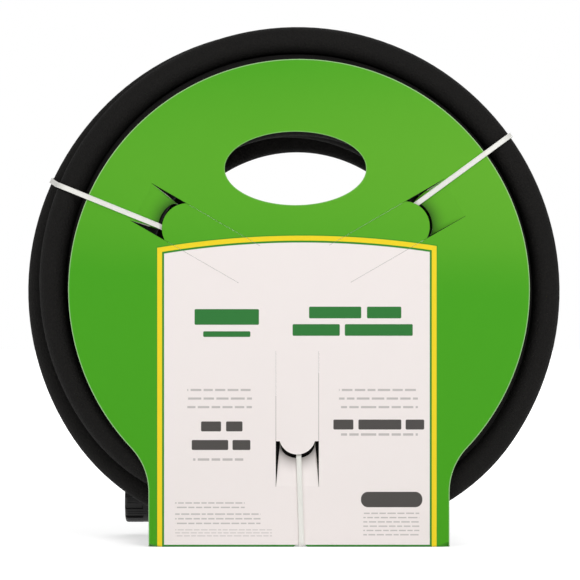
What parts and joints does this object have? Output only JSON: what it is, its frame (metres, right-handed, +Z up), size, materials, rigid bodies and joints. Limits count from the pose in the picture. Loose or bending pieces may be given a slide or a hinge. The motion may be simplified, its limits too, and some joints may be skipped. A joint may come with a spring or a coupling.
{
  "type": "coiled soaker hose pack",
  "caption": "Coiled porous soaker hose with a swivel inlet nut and a capped outlet, held by plastic ties to a folded standing card with a hand hole.",
  "frame": {"origin": "middle of the overall box, on the plane that the pack stands on", "axes": "+X to the viewer's right, +Y to the back, +Z up; the card faces -Y"},
  "size_m": [0.3738, 0.1167, 0.3638],
  "materials": {
    "hose_rubber": "matte, finely grained porous recycled rubber",
    "black_plastic": "moulded, slight sheen",
    "pale_plastic": "moulded, natural",
    "washer_rubber": "smooth, matte",
    "printed_card": "coated board, printed green with a cream panel",
    "tie_nylon": "white nylon, satin, slightly see-through"
  },
  "bodies": {
    "pack": {"hose_coil": "hose_rubber", "inlet_tail": "hose_rubber", "outlet_tail": "hose_rubber", "inlet_stem": "black_plastic", "inlet_sleeve": "black_plastic", "outlet_fitting": "black_plastic", "outlet_sleeve": "black_plastic", "label_card": "printed_card", "tie_left": "tie_nylon", "tie_right": "tie_nylon", "tie_bottom": "tie_nylon"},
    "nut": {"inlet_nut": "black_plastic", "inlet_washer": "washer_rubber", "flow_disc": "pale_plastic"},
    "cap_seal": {"cap_washer": "washer_rubber"},
    "cap": {"end_cap": "black_plastic"}
  },
  "joints": [
    {"name": "inlet_swivel", "type": "hinge", "parent": "pack", "child": "nut", "pos_m": [-0.11, 0.04205, 0.02526], "axis": [-1, 0, 0], "continuous": true},
    {"name": "cap_advance", "type": "slide", "parent": "pack", "child": "cap_seal", "axis": [0.866, 0, 0.5], "range_m": [0, 0.00995]},
    {"name": "cap_turn", "type": "hinge", "parent": "cap_seal", "child": "cap", "pos_m": [0.033, -0.03795, 0.11576], "axis": [0.866, 0, 0.5], "range_deg": [0, 1620]}
  ],
  "couplings": [
    {"joint": "cap_advance", "follows": "cap_turn", "m_per_rad": 0.00035153}
  ]
}
